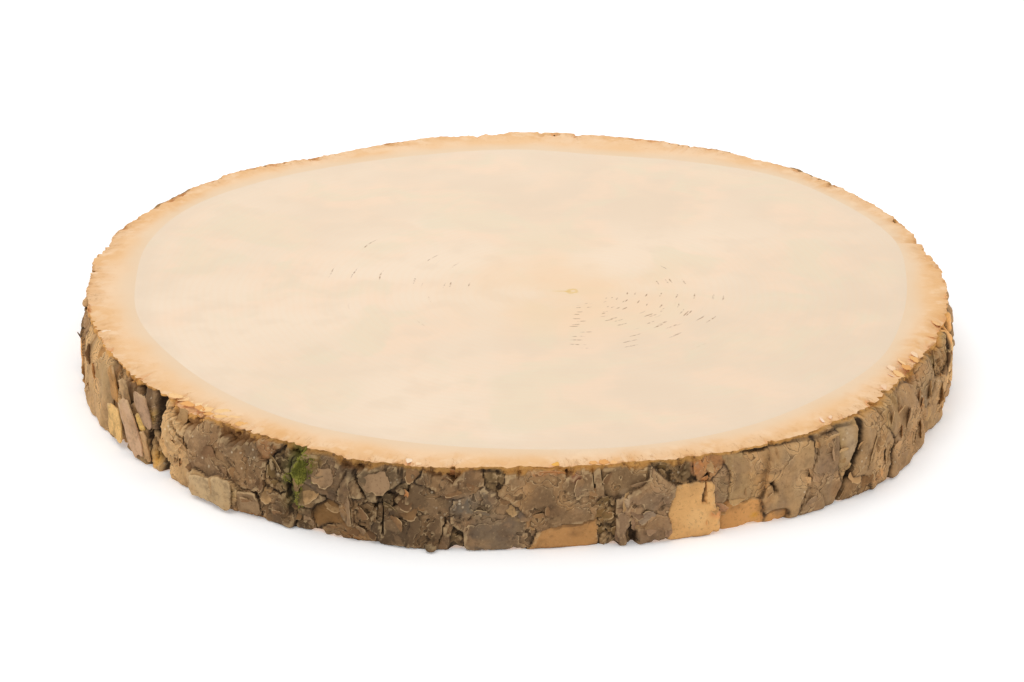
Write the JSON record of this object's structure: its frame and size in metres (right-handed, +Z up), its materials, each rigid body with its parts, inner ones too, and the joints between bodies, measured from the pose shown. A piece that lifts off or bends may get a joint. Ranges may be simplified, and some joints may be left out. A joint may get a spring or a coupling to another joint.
{
  "type": "log slice",
  "caption": "Round slice of a log with sanded wood faces and its flaky bark left on, lying flat as a board, stand or display base.",
  "frame": {"origin": "middle of the underside, on the surface that the slice lies on", "axes": "+Z up, along the log's length, out of the upper sawn face; -Y towards the side with the moss, which the picture faces; +X to the right of someone who looks at that side"},
  "size_m": [0.3506, 0.3498, 0.031],
  "materials": {
    "wood": "pale cream wood, sanded and bare, matt",
    "bark": "rough flaky grey-brown bark with orange-tan sawn faces, matt"
  },
  "bodies": {
    "root": {"wood": "wood", "bark": "bark"}
  },
  "joints": []
}
